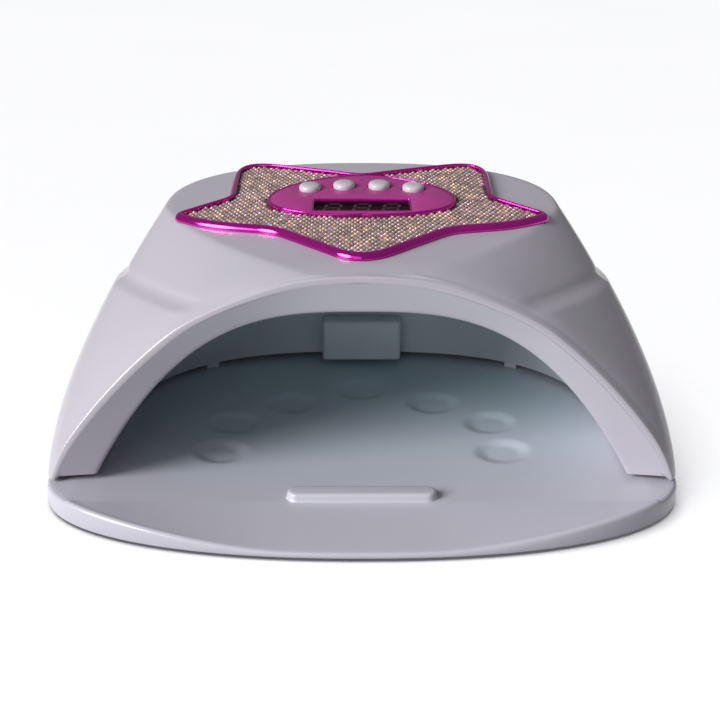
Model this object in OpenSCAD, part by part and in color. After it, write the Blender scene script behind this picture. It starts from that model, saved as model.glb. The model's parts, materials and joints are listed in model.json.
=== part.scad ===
// Nail-curing lamp: an arched housing that stands on a removable magnetic tray.
// Millimetres, +Z up, origin under the middle of the lamp, hand opening towards -Y.

/* [Housing] */
// Greatest half width of the housing, at its foot
half_w = 115.2; // [112:0.2:118]
// Height of the housing's foot above the table
foot_z = 9.5; // [9.5:0.1:10.5]
// Rearmost point of the housing's foot
back_y = 94.7; // [92:0.1:96]
// Wall thickness of the outer shell
shell_t = 2.4; // [2:0.1:2.6]
// Inset of the upper shell above the soft ledge
ledge = 2.0; // [1:0.1:2.4]

/* [Top deck] */
// Half width of the flat deck
deck_half_w = 79.5; // [78:0.5:80]
// Height of the deck where it crosses y = -32
deck_z = 84.9; // [84:0.1:85.5]
// Slope of the deck, rise per unit of depth
deck_slope = 0.084; // [0.07:0.002:0.09]
// Height of the chrome star trim above the deck
trim_h = 2.8; // [2.6:0.1:3.2]
// Width of the flat top of the trim
trim_w = 1.7; // [1.5:0.1:2]

/* [Cavity] */
// Half width of the hand cavity at the tray
cav_half_w = 98; // [96:0.5:99]
// Height of the cavity's ceiling
cav_top = 69.4; // [68.5:0.1:70]
// Rear wall of the cavity
cav_back = 76; // [72:0.5:77]
// Wall thickness of the inner liner
liner_t = 2; // [1.6:0.1:2.2]
// How much deeper the cavity's edge lies than the rim
band_dip = 4; // [2:0.5:5]

/* [Tray] */
// Foremost point of the tray
tray_front = -95; // [-97:0.5:-94]
// Height of the underside of the tray above the table
tray_z = 1.2; // [1:0.1:1.4]
// Depth of the fingertip dimples
dimple_d = 1.1; // [0.8:0.1:1.3]

/* [Controls] */
// Diameter of a button cap
cap_d = 9; // [8.6:0.1:9.2]
// Height of a cap above the control panel
cap_rise = 2.3; // [2:0.1:2.6]
// Travel of a button
cap_travel = 0.8; // [0.4:0.1:0.8]
// Length of the display window
window_w = 39; // [36:0.5:40]
// Depth of the display window, front to back
window_d = 14.4; // [13:0.2:14.6]

/* [Power inlet] */
// Bore of the power socket
jack_bore = 6; // [5.9:0.1:6.4]
// Diameter of the socket's centre pin
jack_pin = 2.1; // [2:0.1:2.5]
// Depth of the socket's bore
jack_depth = 9.5; // [9:0.5:10]

/* [Hidden] */
$fn = 48;

white = "#efecf2";
chrome = "#a0127f";
satin = "#9c3a85";
crystal = "#a8927f";
steel = "#b8bcc2";
board = "#2f6b45";

// ---- shared curves -------------------------------------------------------
// signed superellipse power: turns a sine or cosine into an outline coordinate
function sup(a, n) = sign(a) * pow(abs(a), 2 / n);
function smooth(t) = let (u = min(1, max(0, t))) u * u * (3 - 2 * u);
function mix3(a, b, k) = a + (b - a) * k;

// ---- outer shell: a dome cut by a near-vertical front plane ---------------
dome_h = 87.5;
ledge_w = 4;
front_n = 2.3;
back_n = 2.6;
wall_rows = 13;
wall_cols = 72;
function up(z) = max(0, (z - foot_z) / dome_h);
function side_x(z) = half_w - 41 * pow(up(z), 1.78);
function front_y(z) = -75 + 47 * (0.42 * up(z) + 0.58 * pow(up(z), 3.5));
function waist_y(z) = -45 + 87 * pow(up(z), 1.15);
function rear_y(z) = back_y - 12.5 * pow(up(z), 3.3);
function ledge_z(y) = 70 - 0.08 * (y + 44);
// point of the dome at height z and outline angle a, set in by t
function dome(a, z, t) =
    let (
        n = a < 0 ? front_n : back_n,
        depth = a < 0 ? waist_y(z) - front_y(z) : rear_y(z) - waist_y(z),
        x = (side_x(z) - t) * sup(cos(a), n),
        y = waist_y(z) + sup(sin(a), n) * (depth - t),
        k = ledge * smooth((z - ledge_z(y)) / ledge_w + 0.5),
        r = norm([x, y - 15])
    )
    [x - k * x / r, y - k * (y - 15) / r];
// height of the gently crowned deck, which rolls over towards the rim
function roll(y) = y < -30 ? 0.008 * (y + 30) * (y + 30) : 0;
function deck(x, y) = deck_z + deck_slope * (y + 32) - 0.0004 * x * x - roll(y);
// outline of the deck: nearly straight towards the front, cut off at the rim, full at the back
deck_mid = 38;
deck_back = 49;
deck_front = 88;
deck_front_n = 1.35;
deck_back_n = 2.65;
deck_front_y = -40.6;
function deck_edge(a, t) =
    let (
        n = a < 0 ? deck_front_n : deck_back_n,
        x = (deck_half_w - t) * sup(cos(a), n),
        depth = (a < 0 ? deck_front : deck_back) - t,
        y = max(deck_front_y, deck_mid + sup(sin(a), n) * depth)
    )
    [x, y, deck(x, y) - t];
// front plane that cuts the arch
function rim_y(z) = -53 + 0.15 * (z - 9.5);
function rim_z(a, t, lo, hi, i) =
    i == 0 ? (lo + hi) / 2
    : dome(a, (lo + hi) / 2, t)[1] > rim_y((lo + hi) / 2) ? rim_z(a, t, lo, (lo + hi) / 2, i - 1)
    : rim_z(a, t, (lo + hi) / 2, hi, i - 1);
function low_z(a, t) = dome(a, foot_z, t)[1] >= rim_y(foot_z) ? foot_z : rim_z(a, t, foot_z, 86, 20);
// wall point: k runs from 0 at the deck's edge to 1 at the foot or the rim
function wall(a, k, t, zl) =
    let (
        e = deck_edge(a, t),
        z = mix3(e[2], zl, k),
        p = dome(a, z, t),
        d = dome(a, e[2], t),
        f = pow(1 - k, 2.2)
    )
    [p[0] + (e[0] - d[0]) * f, p[1] + (e[1] - d[1]) * f, z];
// outline angle that runs right round: back half mirrored in x
function turn(i, n) = -90 + 360 * i / n;
function half_turn(a) = a > 90 ? 180 - a : a;
function flip(p, a) = a > 90 ? [-p[0], p[1], p[2]] : p;
// opening in the deck under the control panel
opening_y = 36;
function opening(a, t) =
    let (x = 32 * sup(cos(a), 3), y = opening_y + sup(sin(a), 3) * (a < 0 ? 20.2 : 19))
    [x, y, deck(x, y) - t];
function shell_column(a, t) =
    let (zl = low_z(a, t), o = opening(a, t), e = deck_edge(a, t))
    concat(
        [for (k = [0 : 0.34 : 0.7]) let (p = mix3(o, e, k)) [p[0], p[1], deck(p[0], p[1]) - t]],
        [for (i = [0 : wall_rows]) wall(a, i / wall_rows, t, zl)]
    );
function shell_sheet(t) = [for (i = [0 : wall_cols - 1])
    let (a = turn(i, wall_cols)) [for (p = shell_column(half_turn(a), t)) flip(p, a)]];

// Solid between two point sheets: columns of equal length, outer first.
// wrap joins the last column to the first; hole lists [columns, rows] left open.
module sheet_solid(outer, inner, wrap, hole = [[-1, -1], [-1, -1]]) {
    n = len(outer);
    m = len(outer[0]);
    last = wrap ? n - 1 : n - 2;
    pts = concat([for (c = outer) each c], [for (c = inner) each c]);
    function at(c, r) = (c % n) * m + r;
    function open(c, r) = c >= hole[0][0] && c < hole[0][1] && r >= hole[1][0] && r < hole[1][1];
    s = n * m;
    skin = [for (c = [0 : last], r = [0 : m - 2]) if (!open(c, r)) each [
        [at(c, r), at(c + 1, r), at(c + 1, r + 1), at(c, r + 1)],
        [s + at(c, r + 1), s + at(c + 1, r + 1), s + at(c + 1, r), s + at(c, r)]]];
    edges = [for (c = [0 : last]) each [
        [s + at(c, 0), s + at(c + 1, 0), at(c + 1, 0), at(c, 0)],
        [at(c, m - 1), at(c + 1, m - 1), s + at(c + 1, m - 1), s + at(c, m - 1)]]];
    ends = wrap ? [] : [for (r = [0 : m - 2]) each [
        [at(0, r), at(0, r + 1), s + at(0, r + 1), s + at(0, r)],
        [s + at(n - 1, r), s + at(n - 1, r + 1), at(n - 1, r + 1), at(n - 1, r)]]];
    hc = hole[0];
    hr = hole[1];
    sides = hc[0] < 0 ? [] : concat(
        [for (c = [hc[0] : hc[1] - 1]) each [
            [at(c, hr[0]), at(c + 1, hr[0]), s + at(c + 1, hr[0]), s + at(c, hr[0])],
            [at(c + 1, hr[1]), at(c, hr[1]), s + at(c, hr[1]), s + at(c + 1, hr[1])]]],
        [for (r = [hr[0] : hr[1] - 1]) each [
            [at(hc[0], r + 1), at(hc[0], r), s + at(hc[0], r), s + at(hc[0], r + 1)],
            [at(hc[1], r), at(hc[1], r + 1), s + at(hc[1], r + 1), s + at(hc[1], r)]]]);
    polyhedron(pts, concat(skin, edges, ends, sides), 4);
}

// ---- the hole for the power socket, low in the middle of the back ---------
jack_cols = [35, 37];
jack_rows = [13, 15];

module outer_shell() {
    color(white) sheet_solid(shell_sheet(0), shell_sheet(shell_t), true, [jack_cols, jack_rows]);
}

// ---- inner liner: an arched tunnel that closes at the back ----------------
liner_z = 10.2;
liner_y = -15;
liner_n = 2.6;
band_gap = 0.5;
band_inset = 1.2;
arch_cols = 44;
bay_rows = 12;
// height of the arch over x, and the largest scale of [x, z - 5] that stays inside it
function arch_z(x) = 8 + (cav_top - 8) * (1 - pow(min(1, abs(x) / cav_half_w), 3));
function arch_scale(x, z, lo, hi, i) =
    i == 0 ? (lo + hi) / 2
    : 5 + (z - 5) * (lo + hi) / 2 > arch_z(x * (lo + hi) / 2) ? arch_scale(x, z, lo, (lo + hi) / 2, i - 1)
    : arch_scale(x, z, (lo + hi) / 2, hi, i - 1);
// angle at which the rim reaches the foot
function foot_angle(lo, hi, i) =
    let (m = (lo + hi) / 2)
    i == 0 ? hi
    : low_z(m, shell_t + band_gap) > foot_z + 0.01 ? foot_angle(m, hi, i - 1) : foot_angle(lo, m, i - 1);
rim_end = foot_angle(-60, 0, 16);
// outer edge of the liner's front band for column j, right foot to left foot
function band_edge(j) =
    let (
        u = 2 * j / arch_cols - 1,
        a = rim_end + (-90 - rim_end) * (1 - pow(abs(u), 1.25)),
        zl = max(liner_z, low_z(a, shell_t + band_gap)),
        p = dome(a, zl, shell_t + band_gap)
    )
    [u < 0 ? p[0] : -p[0], zl];
// y of the front band's two edges, grown backwards by t
function band_y(z, t) = rim_y(z) + band_inset + t;
// width factor of the tunnel at depth y, and the height it keeps there
function bay(y) = y <= liner_y ? 1
    : pow(1 - pow((y - liner_y) / (cav_back - liner_y), liner_n), 1 / liner_n);
function sink(c) = 1 - 0.1 * (1 - c);
// one column of the liner, grown outwards by t
function liner_column(j, t) =
    let (
        b = band_edge(j),
        x0 = abs(b[0]) < 0.001 ? 0 : b[0],
        s = j == 0 || j == arch_cols
            ? [sign(x0) * cav_half_w * pow(1 - (liner_z - 8) / (cav_top - 8), 1 / 3), liner_z]
            : let (q = arch_scale(x0, b[1], 0.3, 1.3, 24)) [x0 * q, 5 + (b[1] - 5) * q],
        r = norm([s[0], s[1] - 5]),
        foot = j == 0 || j == arch_cols,
        x = s[0] + t * (foot ? sign(x0) : s[0] / r),
        z = s[1] + t * (foot ? 0 : (s[1] - 5) / r)
    )
    concat(
        [[x0, band_y(b[1], t), b[1]]],
        [for (i = [0 : 3]) [x, mix3(band_y(z, t) + band_dip, liner_y, i / 3), z]],
        [for (i = [1 : bay_rows])
            let (
                g = 90 * i / bay_rows,
                c = i == bay_rows ? 0 : sup(cos(g), liner_n),
                depth = cav_back + t - liner_y
            )
            [x * c, liner_y + depth * sup(sin(g), liner_n), liner_z + (z - liner_z) * sink(c)]]
    );
function liner_sheet(t) = [for (j = [0 : arch_cols]) liner_column(j, t)];

module liner_solid(a, b) {
    n = arch_cols + 1;
    m = bay_rows + 5;
    pts = concat([for (c = liner_sheet(a)) each c], [for (c = liner_sheet(b)) each c]);
    function at(c, r) = c * m + r;
    s = n * m;
    skin = [for (c = [0 : n - 2], r = [0 : m - 2]) each [
        [at(c, r + 1), at(c + 1, r + 1), at(c + 1, r), at(c, r)],
        [s + at(c, r), s + at(c + 1, r), s + at(c + 1, r + 1), s + at(c, r + 1)]]];
    front = [for (c = [0 : n - 2]) [at(c, 0), at(c + 1, 0), s + at(c + 1, 0), s + at(c, 0)]];
    foot = [for (r = [0 : m - 2]) each [
        [s + at(0, r), s + at(0, r + 1), at(0, r + 1), at(0, r)],
        [at(n - 1, r), at(n - 1, r + 1), s + at(n - 1, r + 1), s + at(n - 1, r)]]];
    polyhedron(pts, concat(skin, front, foot), 4);
}
module inner_liner() {
    color(white) liner_solid(0, liner_t);
}

// ---- LED boards and lenses behind and under the ceiling --------------------
led_y = [-26, 2, 28];
led_x = [0, 14, 28, 40, 51, 61];
function arch_slope(x) = -3 * (cav_top - 8) * x * abs(x) / pow(cav_half_w, 3);
// point of the ceiling over x at depth y, grown outwards along its normal by t
function ceiling(x, y, t) =
    let (c = bay(y), m = arch_slope(x), r = norm([m, 1]))
    [x * c - t * m / r, y, liner_z + (arch_z(x) - liner_z) * sink(c) + t / r];
strip_half_w = 5;
strip_span = 72;
strip_cols = 24;
strip_t = 1.2;
strip_gap = 0.8;
function strip_sheet(y, t) = [for (i = [0 : strip_cols])
    let (x = strip_span * (2 * i / strip_cols - 1))
    [ceiling(x, y + strip_half_w, t), ceiling(x, y - strip_half_w, t)]];
module led_strip(y) {
    low = liner_t + strip_gap;
    color(board) sheet_solid(strip_sheet(y, low + strip_t), strip_sheet(y, low), false);
}
lens_r = 2.9;
lens_h = 1.3;
lens_drop = 0.4;
lens_drop_rear = 0.8;
module led_lenses(y) {
    for (x = led_x, s = x == 0 ? [1] : [-1, 1]) {
        narrow = bay(y + lens_r) / bay(y);
        p = ceiling(s * x * narrow, y, y > liner_y + 20 ? -lens_drop_rear : -lens_drop);
        color("gold") translate(p) rotate([0, -atan(arch_slope(s * x)), 0])
            mirror([0, 0, 1]) cylinder(r = lens_r, h = lens_h);
    }
}

// ---- infrared hand sensor, in its block on the rear wall -------------------
sensor_w = 34.8;
sensor_z0 = 10.4;
sensor_z1 = 28;
sensor_y0 = 66.6;
sensor_y1 = 75.2;
sensor_r = 2;
quadrants = [[1, 1], [-1, 1], [-1, -1], [1, -1]];
function round_box(w, d, r) = [for (q = [0 : 3], i = [0 : 4])
    let (g = 90 * q + 22.5 * i, s = quadrants[q])
    [s[0] * (w / 2 - r) + r * cos(g), s[1] * (d / 2 - r) + r * sin(g)]];
module sensor_cover() {
    color(white) difference() {
        translate([0, (sensor_y0 + sensor_y1) / 2, sensor_z0]) linear_extrude(sensor_z1 - sensor_z0)
            polygon(round_box(sensor_w, sensor_y1 - sensor_y0, sensor_r));
        translate([-15, sensor_y0 + 2, sensor_z0 + 2]) cube([30, 10, 13.6]);
    }
}
module sensor_board() {
    color(board) translate([-14.8, sensor_y0 + 6, sensor_z0 + 2.6]) cube([29.6, 1.4, 12.4]);
}
module ir_part(x, tint) {
    color(tint) translate([x, sensor_y0 + 2.6, sensor_z0 + 8.8]) rotate([-90, 0, 0]) cylinder(d = 5, h = 3.2);
}

// ---- power socket in its plate, low at the back ----------------------------
jack_z = 22.6;
jack_len = 12;
plate_y = 92.3;
jack_front = plate_y + 2 - jack_depth;
module dc_jack() {
    color("dimgray") difference() {
        union() {
            translate([-7, plate_y - jack_len, jack_z - 5.5]) cube([14, jack_len, 11]);
            translate([0, plate_y - 0.1, jack_z]) rotate([-90, 0, 0]) cylinder(d = 10, h = 2.1);
            translate([-16.8, plate_y, jack_z - 6]) cube([33.6, 1.7, 12]);
        }
        translate([0, jack_front, jack_z]) rotate([-90, 0, 0]) cylinder(d = jack_bore, h = jack_depth + 1);
    }
}
module dc_jack_pin() {
    color(steel) translate([0, jack_front, jack_z])
        rotate([-90, 0, 0]) cylinder(d = jack_pin, h = jack_depth - 1.5);
}

// ---- wiring inside the housing ---------------------------------------------
// ring of a tube of radius r at p, square to direction d, in 8 points
function ring(p, d, r) =
    let (
        u = d / norm(d),
        side = cross(u, abs(u[0]) > 0.9 ? [0, 1, 0] : [1, 0, 0]),
        v = side / norm(side),
        w = cross(u, v)
    )
    [for (i = [0 : 7]) p + r * (cos(45 * i) * v + sin(45 * i) * w)];
module tube(route, r) {
    n = len(route);
    pts = [for (i = [0 : n - 1]) each ring(route[i], route[min(n - 1, i + 1)] - route[max(0, i - 1)], r)];
    walls = [for (i = [0 : n - 2], k = [0 : 7])
        [8 * i + k, 8 * i + 8 + k, 8 * i + 8 + (k + 1) % 8, 8 * i + (k + 1) % 8]];
    polyhedron(pts, concat([[for (k = [0 : 7]) k]], walls, [[for (k = [7 : -1 : 0]) 8 * (n - 1) + k]]), 4);
}
power_route = [
    [0, 84, 28.6], [0, 84.5, 36], [0, 85, 48], [0, 84.5, 62],
    [0, 82, 72], [0, 75, 79], [0, 64, 80.5], [0, 52, 80.8]
];
led_route = [[14, 44, 80.8], [14, 38, 78.4], [14, 30, 76.6], [14, 15, 76.2], [14, 0, 76.2], [14, -27, 76.2]];
module power_harness() {
    color("firebrick") tube(power_route, 1.5);
}
module led_harness() {
    color("gold") tube(led_route, 1.2);
}

// ---- magnets, posts and screws in the foot ---------------------------------
corner_sign = [[-1, -1], [1, -1], [-1, 1], [1, 1]];
function spot(i, front, rear) =
    let (s = corner_sign[i], p = s[1] < 0 ? front : rear) [s[0] * p[0], p[1], 0];
magnet_front = [105.4, -38];
magnet_rear = [61.5, 72];
post_front = [105.4, -18];
post_rear = [82.4, 56];
foot_front = [86, -44];
foot_rear = [62, 66];
magnet_r = 4;
magnet_h = 2;
module housing_magnet(i) {
    color(steel) translate(spot(i, magnet_front, magnet_rear) + [0, 0, foot_z + 0.2])
        cylinder(r = magnet_r, h = magnet_h);
}
module screw_post(i) {
    color(white) translate(spot(i, post_front, post_rear) + [0, 0, foot_z + 1.3]) difference() {
        cylinder(r = 3.4, h = 14);
        translate([0, 0, -1]) cylinder(d = 2.5, h = 11);
    }
}
module assembly_screws() {
    for (i = [0 : 3]) color(steel) translate(spot(i, post_front, post_rear) + [0, 0, foot_z + 0.1]) {
        cylinder(d = 5, h = 1.1);
        cylinder(d = 2.4, h = 9);
    }
}

// ---- star trim, rhinestone mat and eye-shaped panel on the deck ------------
// right half of the star, front tip to back notch: x, y and the length of the corner's rounding
star_half = [
    [0, -35, 16], [33.8, -1.2, 6], [60, 6.6, 12], [75.8, 20.2, 6],
    [54, 38.6, 4], [54.6, 86.5, 21], [0, 64.2, 5]
];
star = concat(star_half, [for (i = [len(star_half) - 2 : -1 : 1])
    [-star_half[i][0], star_half[i][1], star_half[i][2]]]);
// a corner at p between a and b, rounded over length c on each side
function corner(a, p, b, c) =
    let (s = p + (a - p) / norm(a - p) * c, e = p + (b - p) / norm(b - p) * c)
    [for (i = [0 : 5]) let (k = i / 5) (1 - k) * (1 - k) * s + 2 * k * (1 - k) * p + k * k * e];
function star_xy(i) = let (p = star[i % len(star)]) [p[0], p[1]];
rough_star = [for (i = [0 : len(star) - 1])
    each corner(star_xy(i + len(star) - 1), star_xy(i), star_xy(i + 1), star[i][2])];
// closed outline with its long sides divided into steps
function divide(line, step) = [for (i = [0 : len(line) - 1])
    let (a = line[i], b = line[(i + 1) % len(line)], n = max(1, ceil(norm(b - a) / step)))
    each [for (k = [0 : n - 1]) a + (b - a) * k / n]];
star_line = divide(rough_star, 4.5);
// closed outline moved inwards by d
function inset(line, d) = [for (i = [0 : len(line) - 1])
    let (n = len(line), t = line[(i + 1) % n] - line[(i + n - 1) % n], u = t / norm(t))
    line[i] + d * [-u[1], u[0]]];
function lift(p, h) = [p[0], p[1], deck(p[0], p[1]) + h];

// ring of closed cross-sections, each a list of points in the same order
module ring_solid(loops) {
    n = len(loops);
    m = len(loops[0]);
    pts = [for (c = loops) each c];
    polyhedron(pts, [for (c = [0 : n - 1], r = [0 : m - 1])
        [c * m + r, c * m + (r + 1) % m, ((c + 1) % n) * m + (r + 1) % m, ((c + 1) % n) * m + r]], 4);
}
seat = 0.16;
bevel = 1.1;
trim_in = bevel + trim_w;
module star_trim() {
    low = inset(star_line, 0);
    top = inset(star_line, bevel);
    land = inset(star_line, trim_in - 0.4);
    inner = inset(star_line, trim_in);
    color(chrome) ring_solid([for (i = [0 : len(low) - 1]) [
        lift(inner[i], seat), lift(low[i], seat), lift(low[i], trim_h - 1.3), lift(top[i], trim_h),
        lift(land[i], trim_h), lift(inner[i], trim_h - 0.4)]]);
}
eye_y = 33.2;
eye_a = 36.9;
eye_front = 19.2;
eye_back = 28.4;
function eye_half(g, b, n) = pow(pow(abs(cos(g)) / eye_a, n) + pow(abs(sin(g)) / b, n), -1 / n);
function eye_r(g) = sin(g) < 0 ? eye_half(g, eye_front, 2.3) : eye_half(g, eye_back, 1.7);
mat_h = 1.8;
module rhinestone_mat() {
    line = inset(star_line, trim_in + 0.15);
    color(crystal) ring_solid([for (p = line)
        let (
            d = p - [0, eye_y],
            g = atan2(d[1], d[0]),
            q = [0, eye_y] + min(eye_r(g) + 0.3, norm(d) - 0.3) * [cos(g), sin(g)],
            h = (p + q) / 2
        )
        [lift(q, seat), lift(h, seat), lift(p, seat), lift(p, mat_h), lift(h, mat_h), lift(q, mat_h)]]);
}

// ---- controls, laid out in the plane of the deck ---------------------------
deck_tilt = atan(deck_slope);
module on_deck() {
    translate([0, 30, deck(0, 30)]) rotate([deck_tilt, 0, 0]) translate([0, -30, 0]) children();
}
panel_h = 2.4;
panel_seat = 0.12;
cap_at = [[-21.1, 44.4], [-7.2, 47.2], [7.2, 47.2], [21.1, 44.4]];
window_y = 24.9;
cap_gap = 0.3;
module control_panel() {
    color(satin) on_deck() difference() {
        translate([0, 0, panel_seat]) linear_extrude(panel_h - panel_seat)
            polygon([for (i = [0 : 71]) let (g = 5 * i) [0, eye_y] + eye_r(g) * [cos(g), sin(g)]]);
        for (p = cap_at) translate([p[0], p[1], -1]) cylinder(d = cap_d + 2 * cap_gap, h = 6);
        translate([-window_w / 2, window_y - window_d / 2, -1]) cube([window_w, window_d, 6]);
    }
}
glass_w = window_w - 0.3;
glass_d = window_d - 0.3;
module display_window() {
    color("black") on_deck() translate([-glass_w / 2, window_y - glass_d / 2, panel_seat])
        cube([glass_w, glass_d, 0.9]);
}
board_w = -8.8;
board_t = 1.6;
module display_module() {
    color("dimgray") on_deck() translate([-18, window_y - 6, board_w + board_t]) cube([36, 12.6, 6.8]);
}
module control_board() {
    color(board) on_deck() translate([-28, 18, board_w]) cube([56, 36, board_t]);
}
switch_h = 3.5;
module tact_switch(i) {
    color("dimgray") on_deck() translate([cap_at[i][0], cap_at[i][1], board_w + board_t]) difference() {
        translate([-3, -3, 0]) cube([6, 6, switch_h]);
        translate([0, 0, 1]) cylinder(d = 3.6, h = switch_h);
    }
}
flange_d = 11;
stem_d = 3;
module button_cap(i) {
    top = panel_h + cap_rise;
    color(white) on_deck() translate([cap_at[i][0], cap_at[i][1], 0]) {
        translate([0, 0, -0.9]) cylinder(d = cap_d, h = top + 0.9 - 1.2);
        translate([0, 0, top - 1.2]) cylinder(d1 = cap_d, d2 = cap_d - 2.4, h = 1.2);
        translate([0, 0, -1.4]) cylinder(d = flange_d, h = 0.8);
        translate([0, 0, -5]) cylinder(d = stem_d, h = 4);
    }
}

// ---- tray: a shallow dish with a scooped front lip -------------------------
tray_edge_w = half_w + 0.1;
tray_back = 95;
tray_mid = -45;
land_z = foot_z - 0.4;
tray_cols = 96;
tray_rings = [0.05, 0.2, 0.32, 0.38, 0.44, 0.49, 0.54, 0.59, 0.65, 0.72, 0.8, 0.88, 0.94, 0.98, 1];
tray_hub = [0, -8];
dimples = [[0, 42.4], [30, 28], [52, 7.2], [54.5, -20], [-30, 28], [-52, 7.2], [-54.5, -20]];
function tray_edge(a) = a < 0
    ? [tray_edge_w * sup(cos(a), 2.2), tray_mid + sup(sin(a), 2.2) * (tray_mid - tray_front)]
    : [tray_edge_w * sup(cos(a), 2.6), tray_mid + sup(sin(a), 2.6) * (tray_back - tray_mid)];
function lip_z(x) = 3.3 + (land_z - 3.3) * smooth((abs(x) - 24) / 80);
function dish_z(x, y) = min(land_z, 5 + 3.6 * pow(min(1, norm([x / 104, max(0, y - 5) / 84])), 2.4));
function dimple(p) = let (d = min([for (c = dimples) norm(p - c)])) dimple_d * (1 - smooth((d - 6) / 6.5));
function front_line(x) =
    tray_mid - (tray_mid - tray_front) * pow(max(0, 1 - pow(abs(x) / tray_edge_w, 2.2)), 1 / 2.2);
function tray_top(p) =
    let (
        crease = -60.5 - 0.0006 * p[0] * p[0],
        run = max(1, crease - front_line(p[0])),
        f = min(1, max(0, (crease - p[1]) / run))
    )
    mix3(dish_z(p[0], p[1]), lip_z(p[0]), f) - dimple(p);
module tray_body() {
    edge = [for (i = [0 : tray_cols - 1]) let (a = turn(i, tray_cols), e = tray_edge(half_turn(a)))
        a > 90 ? [-e[0], e[1]] : e];
    m = len(tray_rings);
    n = tray_cols;
    top = [for (e = edge, r = tray_rings) let (p = tray_hub + r * (e - tray_hub)) [p[0], p[1], tray_top(p)]];
    base = [for (e = edge, r = tray_rings) let (p = tray_hub + r * (e - tray_hub)) [p[0], p[1], tray_z]];
    s = n * m;
    function at(c, r) = (c % n) * m + r;
    polyhedron(concat(top, base), concat(
        [[for (c = [n - 1 : -1 : 0]) at(c, 0)], [for (c = [0 : n - 1]) s + at(c, m - 1)]],
        [for (c = [0 : n - 1], r = [0 : m - 2]) [at(c, r), at(c + 1, r), at(c + 1, r + 1), at(c, r + 1)]],
        [for (c = [0 : n - 1]) [at(c, m - 1), at(c + 1, m - 1), s + at(c + 1, m - 1), s + at(c, m - 1)]]), 4);
}
bar_w = 54;
bar_d = 7.6;
bar_y = -57.3;
bar_top = 8;
module rest_bar() {
    translate([0, bar_y, 3]) linear_extrude(bar_top - 3) union() {
        square([bar_w - bar_d, bar_d], center = true);
        for (s = [-1, 1]) translate([s * (bar_w - bar_d) / 2, 0]) circle(d = bar_d);
    }
}
module base_tray() {
    color(white) difference() {
        union() {
            tray_body();
            rest_bar();
        }
        for (i = [0 : 3]) translate(spot(i, magnet_front, magnet_rear) - [0, 0, 1])
            cylinder(r = magnet_r + 0.1, h = tray_z + 4.6);
    }
}
module tray_magnet(i) {
    color(steel) translate(spot(i, magnet_front, magnet_rear) + [0, 0, tray_z + 1.5])
        cylinder(r = magnet_r, h = magnet_h);
}
module tray_foot(i) {
    color("gray") translate(spot(i, foot_front, foot_rear)) cylinder(r = 7, h = tray_z);
}

outer_shell();
inner_liner();
led_strip(led_y[0]);  // led_board_front
led_strip(led_y[1]);  // led_board_middle
led_strip(led_y[2]);  // led_board_rear
led_lenses(led_y[0]);  // led_lenses_front
led_lenses(led_y[1]);  // led_lenses_middle
led_lenses(led_y[2]);  // led_lenses_rear
sensor_cover();
sensor_board();
ir_part(-8, "lightblue");  // ir_emitter
ir_part(8, "black");  // ir_receiver
dc_jack();
dc_jack_pin();
power_harness();
led_harness();
housing_magnet(0);  // housing_magnet_1
housing_magnet(1);  // housing_magnet_2
housing_magnet(2);  // housing_magnet_3
housing_magnet(3);  // housing_magnet_4
screw_post(0);  // screw_post_1
screw_post(1);  // screw_post_2
screw_post(2);  // screw_post_3
screw_post(3);  // screw_post_4
assembly_screws();
star_trim();
rhinestone_mat();
control_panel();
display_window();
display_module();
control_board();
tact_switch(0);  // tact_switch_1
tact_switch(1);  // tact_switch_2
tact_switch(2);  // tact_switch_3
tact_switch(3);  // tact_switch_4
button_cap(0);  // button_cap_1
button_cap(1);  // button_cap_2
button_cap(2);  // button_cap_3
button_cap(3);  // button_cap_4
base_tray();
tray_magnet(0);  // tray_magnet_1
tray_magnet(1);  // tray_magnet_2
tray_magnet(2);  // tray_magnet_3
tray_magnet(3);  // tray_magnet_4
tray_foot(0);  // tray_foot_1
tray_foot(1);  // tray_foot_2
tray_foot(2);  // tray_foot_3
tray_foot(3);  // tray_foot_4
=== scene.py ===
"""Looks of the nail-curing lamp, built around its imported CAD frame.

Lengths are in millimetres until mesh() turns them into metres, unless a name ends in _M.
"""
import json
import math
import random

import bmesh
import bpy
import numpy as np
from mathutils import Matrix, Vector
from mathutils.geometry import delaunay_2d_cdt


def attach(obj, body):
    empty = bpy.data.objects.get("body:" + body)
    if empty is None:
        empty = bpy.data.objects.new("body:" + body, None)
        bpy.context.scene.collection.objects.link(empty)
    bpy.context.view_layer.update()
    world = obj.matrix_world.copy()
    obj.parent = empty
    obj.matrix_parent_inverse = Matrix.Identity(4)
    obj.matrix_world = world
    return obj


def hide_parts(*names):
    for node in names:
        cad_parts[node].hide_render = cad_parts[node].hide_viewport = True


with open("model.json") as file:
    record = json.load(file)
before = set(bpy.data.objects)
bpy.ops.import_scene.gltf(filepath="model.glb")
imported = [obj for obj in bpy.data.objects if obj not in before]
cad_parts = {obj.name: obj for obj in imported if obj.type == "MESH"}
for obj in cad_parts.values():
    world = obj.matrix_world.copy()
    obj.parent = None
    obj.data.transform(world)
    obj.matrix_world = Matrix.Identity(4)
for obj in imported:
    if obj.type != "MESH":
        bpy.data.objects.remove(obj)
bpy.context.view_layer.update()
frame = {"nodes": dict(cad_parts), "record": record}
MM = 0.001
random.seed(7)

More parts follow.
